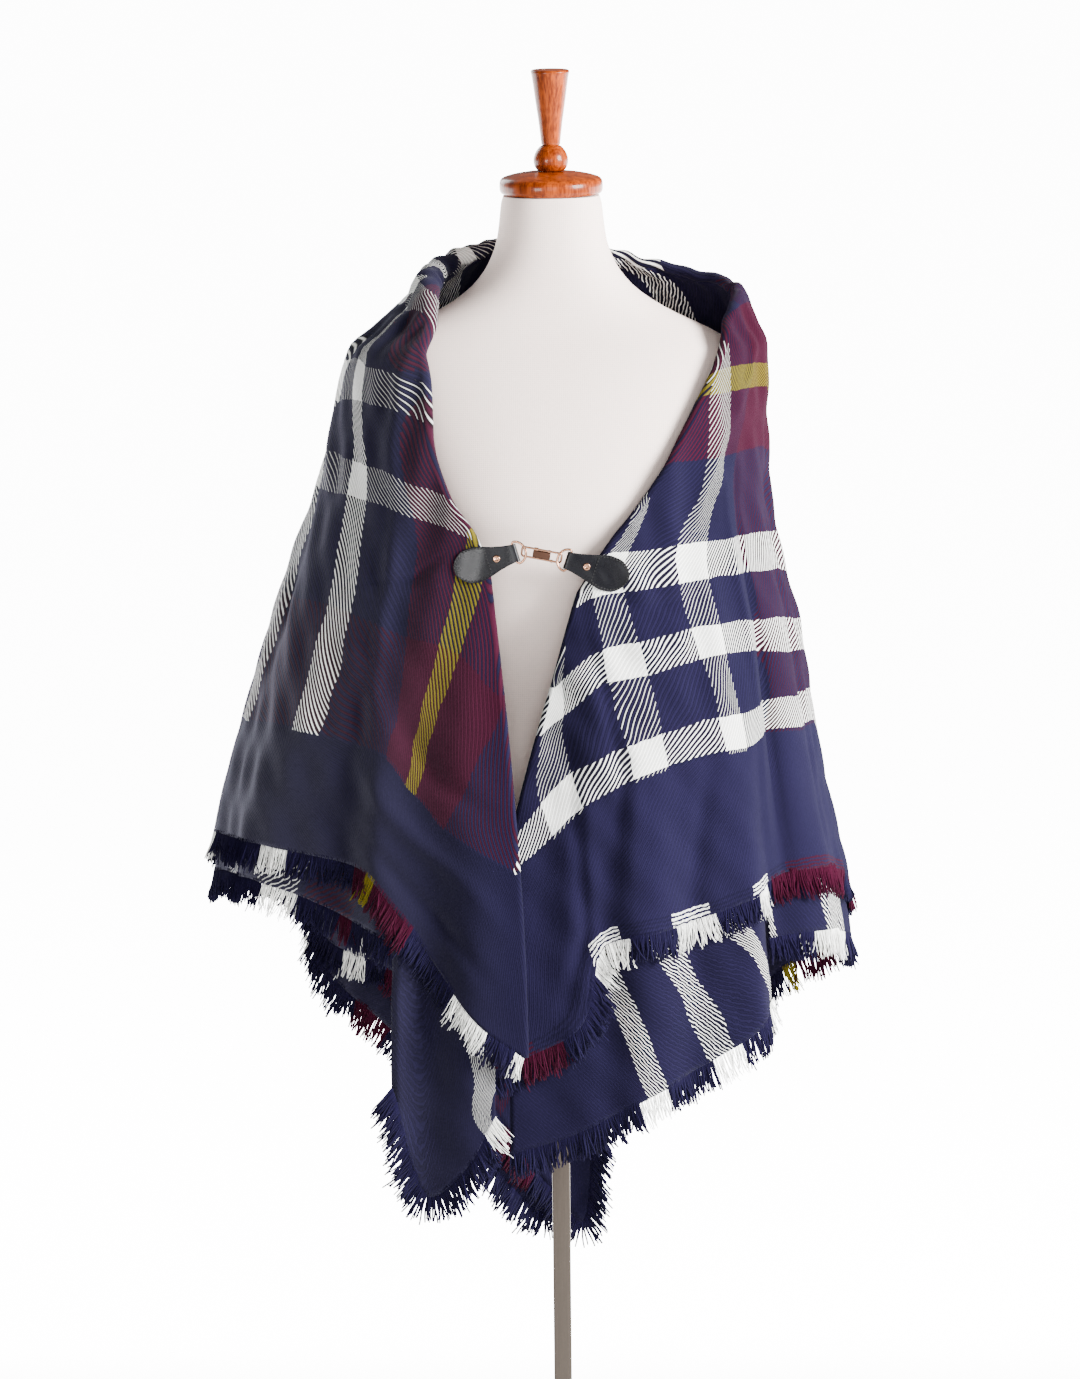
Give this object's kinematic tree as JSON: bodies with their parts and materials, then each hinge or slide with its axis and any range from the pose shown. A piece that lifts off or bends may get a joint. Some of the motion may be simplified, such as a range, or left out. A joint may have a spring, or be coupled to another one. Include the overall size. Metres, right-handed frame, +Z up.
{
  "type": "cape poncho on dress form",
  "caption": "Fringed blanket square folded corner to corner and worn as a cape with a leather clasp, on a limbless dress form with pole and base.",
  "frame": {"origin": "centre of the stand base's underside", "axes": "+Z up along the pole, the form faces -Y, +X at the viewer's right"},
  "size_m": [0.6847, 0.4316, 1.6697],
  "materials": {
    "woven_navy": "matt brushed twill, plaid of navy, white, burgundy and mustard",
    "linen": "matt",
    "varnished_wood": "gloss varnish",
    "steel": "satin",
    "black_leather": "soft sheen",
    "rose_gold": "polished",
    "dark_rose_gold": "polished"
  },
  "bodies": {
    "root": {"finial_bead": "varnished_wood", "finial_handle": "varnished_wood", "fold_left": "woven_navy", "fold_neck": "woven_navy", "fold_right": "woven_navy", "form_torso": "linen", "fringe_inner_back": "woven_navy", "fringe_inner_front_left": "woven_navy", "fringe_inner_front_right": "woven_navy", "fringe_inner_side_left": "woven_navy", "fringe_inner_side_right": "woven_navy", "fringe_outer_back": "woven_navy", "fringe_outer_front_left": "woven_navy", "fringe_outer_front_right": "woven_navy", "hook_frame": "rose_gold", "hook_gate": "dark_rose_gold", "inner_back": "woven_navy", "inner_front_left": "woven_navy", "inner_front_right": "woven_navy", "inner_side_left": "woven_navy", "inner_side_right": "woven_navy", "neck_cap": "varnished_wood", "outer_back": "woven_navy", "outer_front_left": "woven_navy", "outer_front_right": "woven_navy", "ring_left": "rose_gold", "ring_right": "rose_gold", "rivet_left": "rose_gold", "rivet_right": "rose_gold", "stand_base": "steel", "stand_pole": "steel", "tab_left": "black_leather", "tab_right": "black_leather"}
  },
  "joints": []
}
